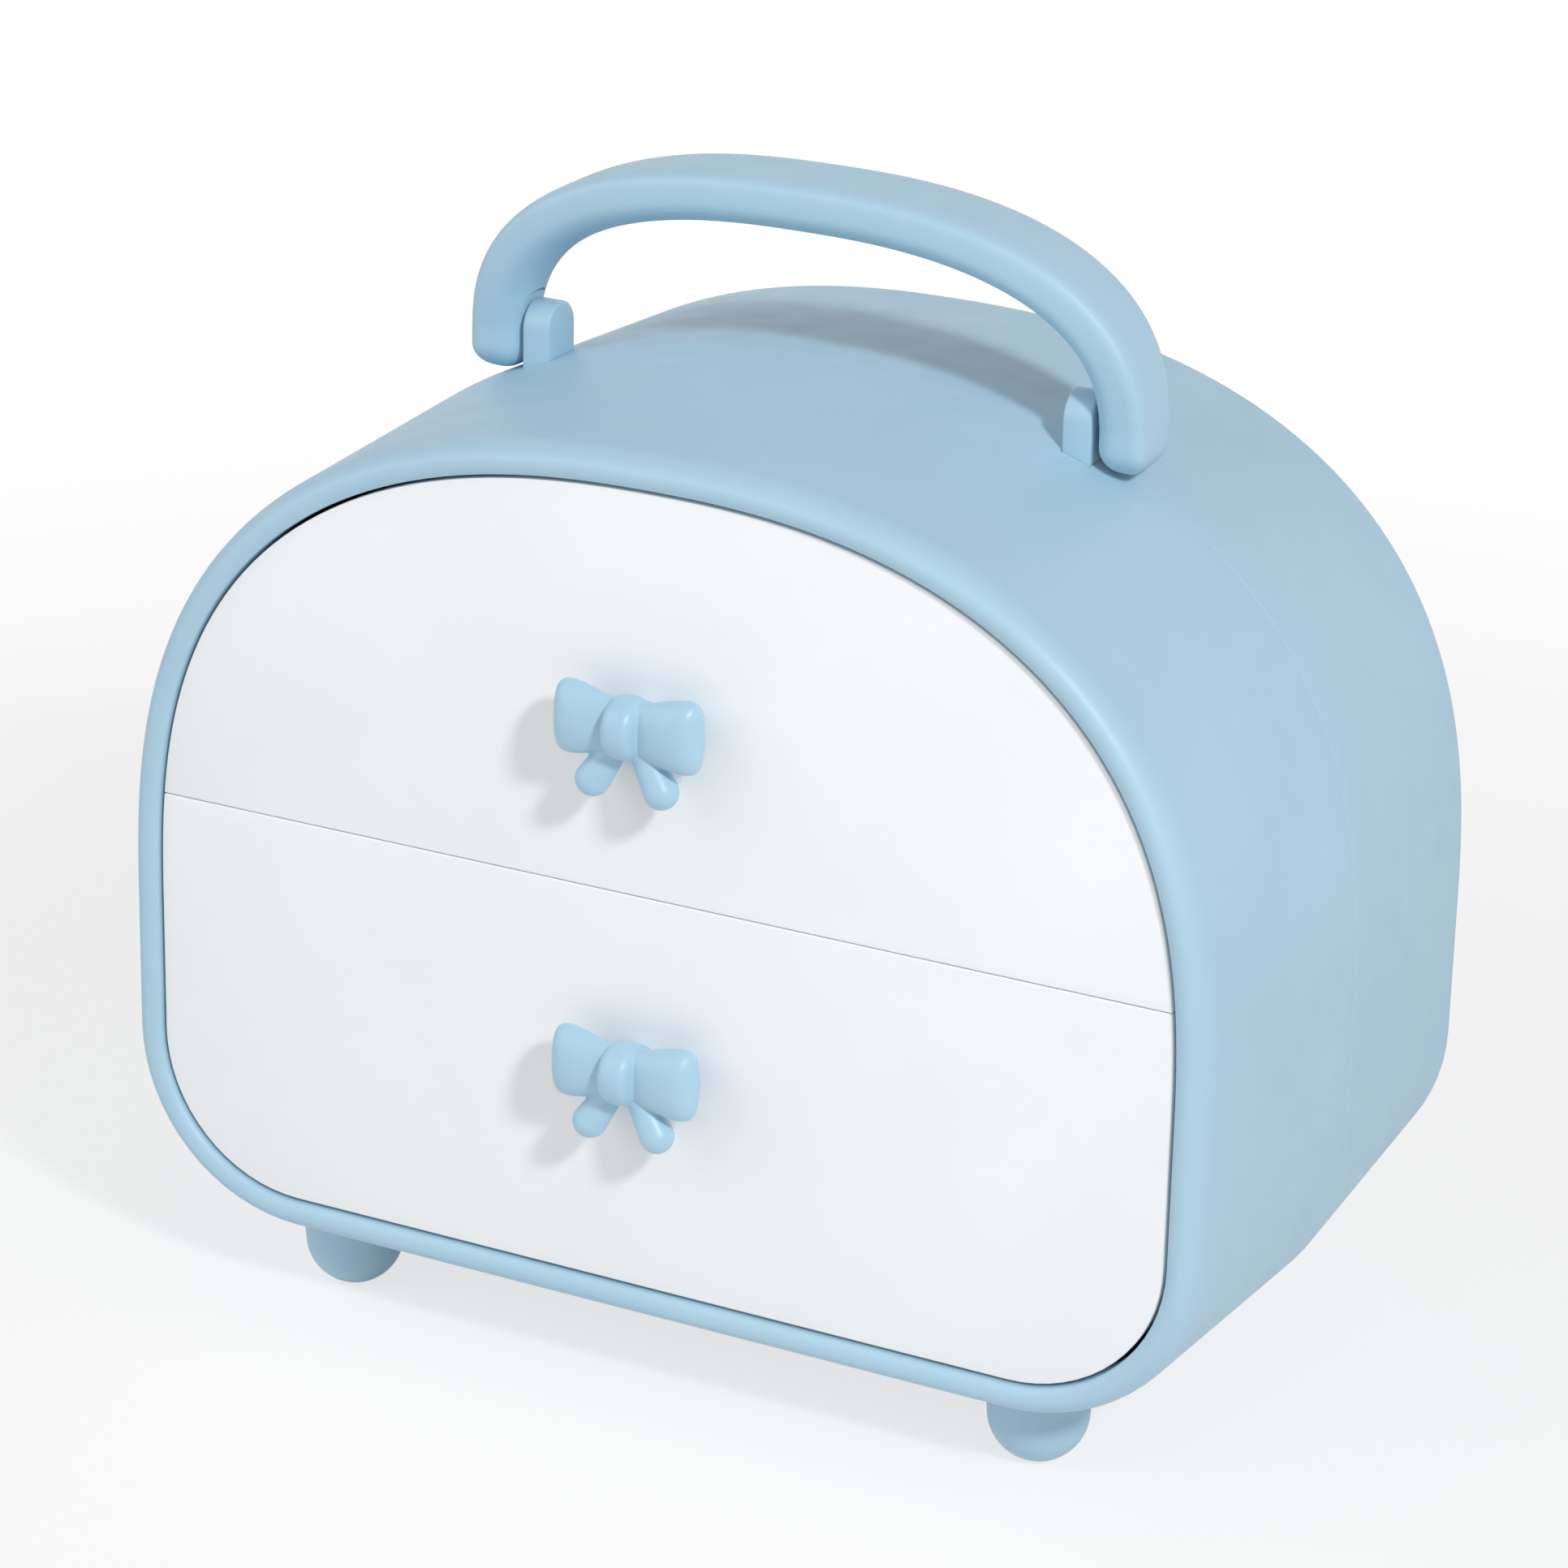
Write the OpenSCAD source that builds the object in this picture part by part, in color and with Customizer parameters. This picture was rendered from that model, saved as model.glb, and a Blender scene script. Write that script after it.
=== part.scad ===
// Hair accessory organizer: an arched two-shell case on four domed feet, with two
// drawers behind flat fronts, a bow knob on each front and a carry handle that folds.
// Millimetres, Z up. The origin is on the floor, under the middle of the whole part.
// Depths are counted backwards from the face of the drawer fronts, and heights
// upwards from the lower edge of the fronts, unless a name says otherwise.

/* [Drawer fronts] */
// Width of the drawer fronts
front_w = 184; // [168:1:200]
// Height of both fronts together, up to the top of the arch
front_h = 135.7; // [126:0.1:146]
// Radius of the two lower corners
corner_r = 25.9; // [20:0.1:30]
// Height at which the straight sides turn into the arch
spring_h = 49.2; // [42:0.1:56]
// Fullness of the arch towards its sides
arch_side_power = 2.38; // [2.1:0.01:2.7]
// Fullness of the arch towards its top
arch_top_power = 2.7; // [2.3:0.01:3]
// Height of the line where the two fronts meet
split_h = 68.4; // [64:0.1:74]
// Thickness of a front
front_t = 3; // [2:0.1:4]
// Gap round the fronts
front_gap = 0.6; // [0.3:0.05:0.8]
// Gap between the two fronts
split_gap = 0.2; // [0.1:0.05:0.8]
// Height of the fronts' lower edge above the floor
front_lift = 20.7; // [18:0.1:26]

/* [Case] */
// Depth from the fronts' face to the back of the case
case_d = 110.5; // [100:0.1:120]
// Depth of the seam between the two shells
seam_d = 54; // [48:0.1:62]
// Radius of the rounded rim round the drawers
rim_r = 5.9; // [5:0.1:7]
// How far the rim stands ahead of the fronts
rim_lead = 1.5; // [1:0.05:4]
// Width of the rim's rounding towards the fronts
rim_bead = 2.2; // [1.6:0.1:2.8]
// How far the case stands out from the fronts' outline at the seam
seam_flare = 8; // [7.2:0.1:9]
// How far the case stands out from the fronts' outline at the back
back_flare = 5; // [4.4:0.1:6]
// Thickness of the case walls
wall = 2.6; // [2.2:0.1:3]
// Depth of the thick lip inside the rim
lip_d = 6; // [5:0.1:8]
// Rounding of the rear edge
back_round = 2.5; // [1.5:0.1:3.5]
// Length of the tongue that locates the shells
tongue_d = 2; // [1.5:0.1:3]
// Clearance between pieces that are pushed together
push_fit = 0.1; // [0.05:0.01:0.2]

/* [Shelf and runners] */
// Thickness of the shelf between the drawers
shelf_t = 2.4; // [2:0.1:3]
// Width of the ledges under the shelf
ledge_w = 5; // [4:0.1:6]
// Thickness of the ledges
ledge_t = 3; // [2:0.1:4]
// Width of the two runners under the lower drawer
runner_w = 3; // [2:0.1:5]
// Distance of the runners from the fronts' side edge
runner_inset = 34; // [30:0.5:44]
// Clearance under and behind a sliding drawer
slide_gap = 0.3; // [0.2:0.05:0.6]

/* [Drawer trays] */
// Distance of the tray sides from the fronts' side edge
tray_inset = 8; // [7:0.1:14]
// Wall thickness of the trays
tray_t = 2; // [1.6:0.1:2.6]
// Outer radius of the lower tray's bottom edges
lower_tray_r = 18; // [16:0.1:20]
// Outer radius of the upper tray's bottom edges
upper_tray_r = 4; // [3:0.1:6]
// How far the lower tray's edge stands above the lower bow's knot
lower_tray_rise = 15.5; // [8:0.5:16]
// How far the upper tray's edge lies below the arch at the tray's sides
upper_tray_drop = 2.5; // [1.5:0.1:8]
// Height of the lower tray's underside
tray_lift = 2; // [1:0.1:4]
// Distance that a drawer pulls out
travel = 75; // [60:0.5:78]
// Thickness of the stop ears on the tray sides
ear_t = 3; // [2:0.1:4]
// Height of a stop ear
ear_h = 6; // [4:0.1:8]
// Overlap of a stop ear with the lip
ear_catch = 1.8; // [1.4:0.1:2.2]
// Radius of the pegs that join a front to its tray
peg_r = 2; // [1.5:0.1:3]
// Distance of a peg from the middle
peg_x = 40; // [24:0.5:60]
// Distance of the pegs below their tray's edge
peg_drop = 9.6; // [8:0.1:12]

/* [Bow knobs] */
// Height of the upper bow's knot
upper_bow_h = 99.5; // [86:0.1:110]
// Height of the lower bow's knot
lower_bow_h = 40.6; // [36:0.1:44]
// Width of a bow
bow_w = 25.7; // [22:0.1:30]
// Height of a loop at its outer end
loop_h = 13.1; // [11:0.1:14]
// Height of a loop at the knot
loop_neck_h = 8; // [7:0.1:9]
// Thickness of a loop
loop_t = 9.4; // [8.4:0.1:10.4]
// How far the outer end of a loop lies behind the knot
loop_sweep = 0.7; // [0:0.1:1.6]
// Radius of the knot
knot_r = 5.2; // [4.4:0.1:5.4]
// Width of the knot
knot_w = 6; // [5.4:0.1:7.4]
// Distance of the knot's middle from the front
bow_reach = 6.6; // [6.3:0.1:8.7]
// Radius of a tail's round end
tail_r = 2.9; // [2.6:0.1:3.4]
// Length of a tail from the knot's middle to the middle of its round end
tail_l = 11.5; // [10:0.1:12.4]
// Angle of a tail from upright
tail_angle = 32; // [24:1:40]
// How far a tail starts behind the knot's middle
tail_set = 1.4; // [0.8:0.1:2]
// Forward lean of a tail
tail_lean = 7; // [2:1:12]
// Radius of the stem that carries the bow
stem_r = 2.5; // [2.3:0.1:3.3]

/* [Carry handle] */
// Distance between the middles of the handle's legs
handle_span = 113.6; // [106:0.1:120]
// Height of the handle's middle line above the pivots
handle_rise = 28.2; // [24:0.1:36]
// Fullness of the handle's arch
handle_power = 2.5; // [2.2:0.01:2.8]
// How far below the pivots the arch begins
handle_arch_drop = 2.6; // [1:0.1:4]
// How far below the pivots a leg ends
leg_drop = 8; // [7:0.1:8.5]
// Thickness of the handle, in the plane of its arch
grip_t = 9.2; // [8.5:0.1:10.2]
// Depth of the handle at its top
grip_d = 18.4; // [15:0.1:19]
// Depth of the handle at its legs
leg_d = 12.4; // [11:0.1:13]
// Squareness of the handle's outer side
grip_outer_power = 5; // [2:0.1:6]
// Squareness of the handle's inner side
grip_inner_power = 2.2; // [2:0.1:4]
// Thickness of a lug
lug_t = 5; // [4:0.1:5.4]
// Depth of a lug
lug_d = 8.8; // [8:0.1:10]
// Height of the pivots above the case at the lugs
pivot_rise = 6.6; // [6.4:0.1:8]
// Clearance between a leg and its lug
leg_gap = 0.45; // [0.3:0.05:0.6]
// Clearance round a lug in the handle above it
lug_relief = 1.6; // [1.4:0.1:2]
// Radius of a pivot pin
pin_r = 1.6; // [1.3:0.05:2]
// Running clearance round a pivot pin
pin_fit = 0.05; // [0.02:0.01:0.1]

/* [Feet] */
// Radius of a foot's dome
foot_r = 8.4; // [7.5:0.1:9.5]
// Radius of a foot where it meets the case
foot_neck_r = 9.2; // [8.2:0.1:10.2]
// Radius of the flat under a foot
foot_flat_r = 3; // [2:0.1:4]
// Distance of the feet inside the ends of the case's straight lower edge
foot_inset = 1.3; // [0:0.1:14]
// Distance of the feet from the fronts' face and from the back
foot_depth = 16; // [14:0.1:22]
// Depth of the socket that a foot sits in
socket_d = 0.4; // [0.3:0.05:0.6]
// Radius of the spigot on a foot
spigot_r = 3; // [2.5:0.1:4]

/* [Screws] */
// Radius of the screws' shanks
screw_r = 1.5; // [1.2:0.05:1.6]
// Radius of the screws' heads
screw_head_r = 2.8; // [2.4:0.1:2.9]
// Thickness of the screws' heads
screw_head_t = 2; // [1.6:0.1:2.4]
// Length of the case screws below the head
case_screw_l = 16; // [13:0.5:18]
// Outer radius of the screw tubes in the rear shell
tube_r = 4.6; // [4.2:0.1:5]
// Distance of the lower pair of screws above the lower tray's stop ears
lower_screw_lift = 9; // [7:0.1:12]
// Place of the upper pair of screws along the arch, in degrees
upper_screw_turn = 42; // [38:1:48]

/* [Hidden] */

case_blue = [0.70, 0.85, 0.93];
front_white = [0.95, 0.96, 0.97];
steel_grey = [0.72, 0.74, 0.76];

// Steps round a lower corner, along half the arch, round the rim and round the rear edge
corner_steps = 7;
arch_steps = 16;
rim_steps = 5;
round_steps = 3;
// Steps along and round the handle, along and round a bow's loop, and up a knot and a foot
handle_steps = 34;
handle_sides = 24;
cap_steps = 4;
loop_steps = 9;
loop_sides = 18;
knot_steps = 6;
dome_steps = 12;
$fn = 48;

// Shape of a bow: fullness of the loops' ends and sides and of the knot, the swell that
// makes up for a loop's rounded end, how much of its size a loop or tail starts with,
// and how far out in the knot's width a loop starts
loop_end_power = 5.5;
loop_side_power = 2.1;
loop_end_turn = 86;
loop_swell = 1.08;
loop_neck_share = 0.42;
loop_root_share = 1 / 6;
knot_end_power = 3;
knot_side_power = 4;
tail_root_share = 0.6;

// Clearance of a press fit, and how deep the pins and knob screws reach
press_gap = 0.02;
pin_in_leg = 5;
knob_screw_grip = 7;

// Reach and width of a screw's cross recess, as shares of its head's radius
recess_reach = 1.2;
recess_width = 0.3;

// Flange that holds a lug inside the case: its overhang, thickness and clearance
flange_over = 3;
flange_t = 2.4;
flange_drop = 0.3;

// Screw bosses in the front shell: their length, the rib that carries each of them, and
// the wall left between a screw's head and the rounded rear edge
boss_l = 12;
boss_rib_t = 3;
head_land = 0.9;

// Turn at which the rounded end of a handle's leg begins
leg_end_turn = 15;

half_w = front_w / 2;
bow_front = bow_reach + knot_r;
face_y = (bow_front - case_d) / 2;
seam_y = face_y + seam_d;
rim_end = rim_r - rim_lead;
shelf_top = split_h + shelf_t / 2;
shelf_bottom = split_h - shelf_t / 2;
tray_w = front_w - 2 * tray_inset;
tray_back = case_d - wall - slide_gap;
upper_tray_z = shelf_top + slide_gap;
lower_tray_h = lower_bow_h + lower_tray_rise - tray_lift;
ear_d = lip_d + travel + slide_gap;
lower_screw_h = tray_lift + lower_tray_r + ear_h + lower_screw_lift;
foot_x = half_w - corner_r - foot_inset;
spigot_l = 2 * wall;

function lerp(a, b, u) = a + (b - a) * u;
function unit(v) = v / norm(v);

// Share of a quarter turn that spaces points evenly along an arch of two powers
function even_share(u, p, q) =
    let (from_start = pow(u, p / 2), from_end = pow(1 - u, q / 2))
    from_start / (from_start + from_end);

// A place on the fronts' outline is [x, height, outward x, outward height]
function arch_place(turn) =
    let (
        x = pow(cos(turn), 2 / arch_side_power),
        h = pow(sin(turn), 2 / arch_top_power),
        rise = front_h - spring_h,
        slope_x = arch_side_power / half_w * pow(x, arch_side_power - 1),
        slope_h = arch_top_power / rise * pow(h, arch_top_power - 1),
        out = unit([slope_x, slope_h])
    )
    [half_w * x, spring_h + rise * h, out[0], out[1]];
function corner_place(angle) =
    [half_w - corner_r + corner_r * cos(angle), corner_r + corner_r * sin(angle), cos(angle), sin(angle)];
function mirrored(place) = [-place[0], place[1], -place[2], place[3]];

right_corner = [for (k = [0 : corner_steps]) corner_place(-90 + 90 * k / corner_steps)];
right_arch = [
    for (k = [0 : arch_steps - 1])
        arch_place(90 * even_share(k / arch_steps, arch_top_power, arch_side_power))
];
right_half = concat(right_corner, right_arch);
left_half = [for (k = [len(right_half) - 1 : -1 : 0]) mirrored(right_half[k])];
outline = concat(right_half, [[0, front_h, 0, 1]], left_half);

// How far the case stands out from the outline at a depth behind the rim
function flare(depth) = depth < seam_d
    ? lerp(rim_r, seam_flare, (depth - rim_end) / (seam_d - rim_end))
    : lerp(seam_flare, back_flare, (depth - seam_d) / (case_d - seam_d));

// Half width of the fronts at a height, and the place on the arch for an x
function outline_x(h) = h < corner_r
    ? half_w - corner_r + sqrt(corner_r * corner_r - pow(corner_r - h, 2))
    : h <= spring_h ? half_w
    : half_w * pow(1 - pow((h - spring_h) / (front_h - spring_h), arch_top_power), 1 / arch_side_power);
function arch_turn(x, out, low = 0, high = 90, tries = 24) =
    let (middle = (low + high) / 2, place = arch_place(middle))
    tries == 0 ? middle
    : place[0] + out * place[2] > x ? arch_turn(x, out, middle, high, tries - 1)
    : arch_turn(x, out, low, middle, tries - 1);
function arch_h(x, out) = let (place = arch_place(arch_turn(x, out))) place[1] + out * place[3];

upper_tray_h = arch_h(tray_w / 2, 0) - upper_tray_drop - upper_tray_z;

lug_out_x = handle_span / 2 - grip_t / 2 - leg_gap;
lug_in_x = lug_out_x - lug_t;
pivot_z = front_lift + arch_h(lug_out_x, seam_flare) + pivot_rise;
lug_blind_x = lug_in_x + lug_t / 4;
flange_reach = lug_d / 2 + flange_over;
flange_flare = min(flare(seam_d - flange_reach), flare(seam_d + flange_reach)) - wall;
flange_z = front_lift + arch_h(lug_out_x, flange_flare) - flange_drop - flange_t;

boss_out = back_flare - back_round - screw_head_r - head_land;
boss_places = [[half_w, lower_screw_h, 1, 0], arch_place(upper_screw_turn)];
tube_seat = case_screw_l - boss_l + wall;

// The outline moved outwards, at a depth
function ring(depth, out) = [
    for (place = outline)
        [place[0] + out * place[2], face_y + depth, front_lift + place[1] + out * place[3]]
];

// Closes a stack of point rings: looped rings join last to first, others get end caps
module skin(rings, looped = false) {
    count = len(rings[0]);
    last = len(rings) - 1;
    sides = [
        for (j = [0 : looped ? last : last - 1])
            for (i = [0 : count - 1])
                let (
                    a = j * count + i,
                    b = j * count + (i + 1) % count,
                    c = (j + 1) % len(rings) * count + (i + 1) % count,
                    d = (j + 1) % len(rings) * count + i
                )
                each [[a, b, c], [a, c, d]]
    ];
    caps = looped ? [] : [
        [for (i = [count - 1 : -1 : 0]) i],
        [for (i = [0 : count - 1]) last * count + i]
    ];
    polyhedron(points = [for (r = rings) each r], faces = concat(sides, caps));
}

module along_y(r, depth, length) {
    translate([0, face_y + depth, 0])
        rotate([-90, 0, 0])
            cylinder(r = r, h = length);
}

module along_x(r, x, length) {
    translate([x, seam_y, pivot_z])
        rotate([0, 90, 0])
            cylinder(r = r, h = length);
}

module both_sides() {
    for (side = [0, 1])
        mirror([side, 0, 0])
            children();
}

module at_bosses() {
    both_sides()
        for (place = boss_places)
            translate([place[0] + boss_out * place[2], 0, front_lift + place[1] + boss_out * place[3]])
                rotate([0, -atan2(place[3], place[2]), 0])
                    children();
}

module lug_slots() {
    both_sides()
        translate([lug_in_x - push_fit, seam_y - lug_d / 2 - push_fit, flange_z])
            cube([lug_t + 2 * push_fit, lug_d + 2 * push_fit, pivot_z - flange_z]);
}

// Height at which a foot at a depth meets the floor of its socket
function foot_seat_z(depth) =
    front_lift - min(flare(depth - foot_neck_r), flare(depth + foot_neck_r)) + socket_d;

module foot_sockets(depth) {
    both_sides()
        translate([foot_x, face_y + depth, foot_seat_z(depth)]) {
            translate([0, 0, -foot_r])
                cylinder(r = foot_neck_r + push_fit, h = foot_r);
            translate([0, 0, -socket_d])
                cylinder(r = spigot_r + push_fit, h = spigot_l);
        }
}

// Ledges under the shelf and runners under the lower drawer, between two depths
module rails(start, end) {
    sink = wall / 2;
    both_sides() {
        translate([0, face_y, front_lift + shelf_bottom - ledge_t])
            linear_extrude(ledge_t)
                polygon([
                    [outline_x(split_h) - ledge_w, start],
                    [outline_x(split_h) + flare(start) - sink, start],
                    [outline_x(split_h) + flare(end) - sink, end],
                    [outline_x(split_h) - ledge_w, end]
                ]);
        translate([half_w - runner_inset, face_y, front_lift])
            rotate([90, 0, 90])
                linear_extrude(runner_w, center = true)
                    polygon([
                        [start, sink - flare(start)],
                        [end, sink - flare(end)],
                        [end, tray_lift - slide_gap],
                        [start, tray_lift - slide_gap]
                    ]);
    }
}

module front_shell() {
    lap = wall / 2;
    flank = [
        for (k = [0 : rim_steps - 1])
            let (turn = 90 * k / rim_steps)
            [-rim_lead * sin(turn), front_gap + rim_bead * (1 - cos(turn))]
    ];
    rim = [
        for (k = [0 : rim_steps])
            let (turn = 90 * k / rim_steps)
            [-rim_lead + rim_r * (1 - cos(turn)), lerp(front_gap + rim_bead, rim_r, sin(turn))]
    ];
    wall_path = concat(flank, rim, [
        [seam_d, seam_flare],
        [seam_d, seam_flare - lap],
        [seam_d + tongue_d, seam_flare - lap - push_fit],
        [seam_d + tongue_d, seam_flare - wall],
        [seam_d, seam_flare - wall],
        [lip_d, flare(lip_d) - wall],
        [lip_d, front_gap]
    ]);
    color(case_blue)
        difference() {
            union() {
                skin([for (p = wall_path) ring(p[0], p[1])], looped = true);
                rails(lip_d - wall / 2, seam_d - push_fit);
                at_bosses() {
                    along_y(tube_r, seam_d - boss_l, boss_l);
                    translate([0, face_y + seam_d - boss_l, -boss_rib_t / 2])
                        cube([seam_flare - wall / 2 - boss_out, boss_l, boss_rib_t]);
                }
            }
            at_bosses()
                along_y(screw_r + press_gap, seam_d - boss_l - wall, boss_l + 2 * wall);
            lug_slots();
            foot_sockets(foot_depth);
        }
}

module rear_shell() {
    lap = wall / 2;
    inner_back = flare(case_d - wall) - wall;
    edge = [
        for (k = [0 : round_steps])
            [case_d - back_round + back_round * sin(90 * k / round_steps),
             flare(case_d - back_round * (1 - sin(90 * k / round_steps)))
                 - back_round * (1 - cos(90 * k / round_steps))]
    ];
    wall_path = concat([
        [case_d - wall, inner_back],
        [seam_d + tongue_d + push_fit, flare(seam_d + tongue_d) - wall],
        [seam_d + tongue_d + push_fit, seam_flare - lap],
        [seam_d, seam_flare - lap + push_fit],
        [seam_d, seam_flare]
    ], edge);
    color(case_blue)
        difference() {
            union() {
                skin([for (p = wall_path) ring(p[0], p[1])]);
                rails(seam_d + tongue_d + 2 * push_fit, case_d - wall / 2);
                at_bosses()
                    along_y(tube_r, seam_d + push_fit, case_d - wall / 2 - seam_d - push_fit);
            }
            at_bosses() {
                along_y(screw_r + push_fit, seam_d - wall, 2 * wall + tube_seat);
                along_y(screw_head_r + push_fit, seam_d + tube_seat, case_d - seam_d);
            }
            lug_slots();
            foot_sockets(case_d - foot_depth);
        }
}

module divider_shelf() {
    half_shelf = outline_x(split_h) + flare(case_d) - wall - slide_gap;
    shelf_front = lip_d + slide_gap;
    color(case_blue)
        translate([-half_shelf, face_y + shelf_front, front_lift + shelf_bottom])
            cube([2 * half_shelf, tray_back - shelf_front, shelf_t]);
}

module handle_lug() {
    color(case_blue)
        difference() {
            union() {
                along_x(lug_d / 2, lug_in_x, lug_t);
                translate([lug_in_x, seam_y - lug_d / 2, flange_z])
                    cube([lug_t, lug_d, pivot_z - flange_z]);
                translate([lug_in_x, seam_y - flange_reach, flange_z])
                    cube([lug_t, 2 * flange_reach, flange_t]);
            }
            along_x(pin_r + pin_fit, lug_blind_x, lug_t);
        }
}

module left_handle_lug() {
    mirror([1, 0, 0])
        handle_lug();
}

module right_handle_lug() {
    handle_lug();
}

module foot(side, depth) {
    seat_z = foot_seat_z(depth);
    spigot_top = seat_z + spigot_l - socket_d;
    flat_turn = asin(foot_flat_r / foot_r);
    middle_z = foot_r * cos(flat_turn);
    dome = [
        for (k = [0 : dome_steps])
            let (turn = lerp(flat_turn, 90, k / dome_steps))
            [foot_r * sin(turn), middle_z - foot_r * cos(turn)]
    ];
    neck = [[foot_neck_r, seat_z], [spigot_r, seat_z], [spigot_r, spigot_top]];
    color(case_blue)
        translate([side * foot_x, face_y + depth, 0])
            rotate_extrude()
                polygon(concat([[0, 0]], dome, neck, [[0, spigot_top]]));
}

module front_left_foot() {
    foot(-1, foot_depth);
}

module front_right_foot() {
    foot(1, foot_depth);
}

module rear_left_foot() {
    foot(-1, case_d - foot_depth);
}

module rear_right_foot() {
    foot(1, case_d - foot_depth);
}

// A round-headed cross-recess screw whose shank points forwards from a depth
module screw(depth, length) {
    recess = [screw_head_r * recess_reach, screw_head_r * recess_width];
    color(steel_grey)
        difference() {
            union() {
                along_y(screw_r, depth - length, length);
                along_y(screw_head_r, depth, screw_head_t);
            }
            for (turn = [0, 90])
                rotate([0, turn, 0])
                    translate([-recess[0] / 2, face_y + depth + screw_head_t / 2, -recess[1] / 2])
                        cube([recess[0], screw_head_t, recess[1]]);
        }
}

module case_screws() {
    at_bosses()
        screw(seam_d + tube_seat, case_screw_l);
}

// Middle line of the handle from its right leg over the top, as [x, height over the pivots]
handle_arch = [
    for (k = [0 : handle_steps])
        let (
            u = 2 * k / handle_steps,
            share = even_share(u <= 1 ? u : 2 - u, handle_power, handle_power),
            x = pow(cos(90 * share), 2 / handle_power) * (u <= 1 ? 1 : -1),
            h = pow(sin(90 * share), 2 / handle_power)
        )
        [handle_span / 2 * x, -handle_arch_drop + (handle_rise + handle_arch_drop) * h]
];

leg_round = grip_t / 2;

function handle_depth(h) = lerp(leg_d, grip_d, min(1, max(0, h / handle_rise)));

// One ring of the handle about a middle point, across a direction of travel
function handle_ring(middle, ahead, share) = [
    for (i = [0 : handle_sides - 1])
        let (
            turn = -360 * i / handle_sides,
            power = cos(turn) > 0 ? grip_outer_power : grip_inner_power,
            wide = share * handle_depth(middle[1]) / 2,
            across = share * grip_t / 2 * pow(abs(cos(turn)), 2 / power) * sign(cos(turn)),
            aside = wide * pow(abs(sin(turn)), 2 / power) * sign(sin(turn))
        )
        [middle[0] + ahead[1] * across, seam_y + aside, pivot_z + middle[1] - ahead[0] * across]
];

// The rounded end of a leg, from its smallest ring (0) to the full section (1)
function leg_ring(side, u) =
    let (turn = lerp(leg_end_turn, 90, u))
    handle_ring([side * handle_span / 2, leg_round * (1 - cos(turn)) - leg_drop], [0, side], sin(turn));

module carry_handle() {
    right_end = [for (k = [0 : cap_steps]) leg_ring(1, k / cap_steps)];
    left_end = [for (k = [cap_steps : -1 : 0]) leg_ring(-1, k / cap_steps)];
    arch = [
        for (k = [1 : handle_steps - 1])
            handle_ring(handle_arch[k], unit(handle_arch[k + 1] - handle_arch[k - 1]), 1)
    ];
    color(case_blue)
        difference() {
            skin(concat(right_end, arch, left_end));
            both_sides() {
                along_x(lug_d / 2 + lug_relief, lug_in_x - grip_t, lug_t + grip_t + leg_gap);
                along_x(pin_r + press_gap, lug_out_x, leg_gap + pin_in_leg + press_gap);
            }
        }
}

module handle_pin() {
    pin_x = lug_blind_x + push_fit;
    color(steel_grey)
        along_x(pin_r, pin_x, lug_out_x + leg_gap + pin_in_leg - pin_x);
}

module left_handle_pin() {
    mirror([1, 0, 0])
        handle_pin();
}

module right_handle_pin() {
    handle_pin();
}

// Upright section of a tray with round bottom edges
module tray_section(w, h, r) {
    translate([-w / 2, r])
        square([w, h - r]);
    translate([r - w / 2, 0])
        square([w - 2 * r, h]);
    for (side = [-1, 1])
        translate([side * (w / 2 - r), r])
            circle(r = r);
}

module tray_block(start, end, w, h, r) {
    translate([0, face_y + end, 0])
        rotate([90, 0, 0])
            linear_extrude(end - start)
                tray_section(w, h, r);
}

// Height of the pegs that hold a front to a tray
function peg_h(base_h, tray_h) = base_h + tray_h - peg_drop;

// A tray has a stop ear above each round bottom edge, and a hole for its knob's screw
module drawer_tray(base_h, tray_h, edge_r, hole_h, hole_r) {
    ear_low = base_h + edge_r;
    ear_x = outline_x(ear_low + ear_h / 2) + ear_catch;
    color(front_white)
        difference() {
            union() {
                translate([0, 0, front_lift + base_h])
                    difference() {
                        tray_block(front_t, tray_back, tray_w, tray_h, edge_r);
                        translate([0, 0, tray_t])
                            tray_block(front_t + tray_t, tray_back - tray_t,
                                       tray_w - 2 * tray_t, tray_h, edge_r - tray_t);
                    }
                both_sides()
                    translate([tray_w / 2 - tray_t / 2, face_y + ear_d, front_lift + ear_low])
                        cube([ear_x - tray_w / 2 + tray_t / 2, ear_t, ear_h]);
            }
            both_sides()
                translate([peg_x, 0, front_lift + peg_h(base_h, tray_h)])
                    along_y(peg_r + press_gap, front_t - tray_t, 3 * tray_t);
            translate([0, 0, front_lift + hole_h])
                along_y(hole_r, front_t - tray_t, 3 * tray_t);
        }
}

module upper_drawer_tray() {
    drawer_tray(upper_tray_z, upper_tray_h, upper_tray_r, upper_bow_h, screw_head_r + slide_gap);
}

module lower_drawer_tray() {
    drawer_tray(tray_lift, lower_tray_h, lower_tray_r, lower_bow_h, screw_r + push_fit);
}

module drawer_front(low, high, pegs_at, bow_h) {
    color(front_white)
        difference() {
            union() {
                intersection() {
                    translate([0, face_y + front_t, front_lift])
                        rotate([90, 0, 0])
                            linear_extrude(front_t)
                                polygon([for (place = outline) [place[0], place[1]]]);
                    translate([-front_w, face_y - front_t, front_lift + low])
                        cube([2 * front_w, 3 * front_t, high - low]);
                }
                both_sides()
                    translate([peg_x, 0, front_lift + pegs_at])
                        along_y(peg_r, front_t / 2, front_t / 2 + tray_t);
            }
            translate([0, 0, front_lift + bow_h])
                along_y(screw_r + push_fit, -front_t, 3 * front_t);
        }
}

module upper_drawer_front() {
    pegs_at = peg_h(upper_tray_z, upper_tray_h);
    drawer_front(split_h + split_gap / 2, 2 * front_h, pegs_at, upper_bow_h);
}

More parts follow.
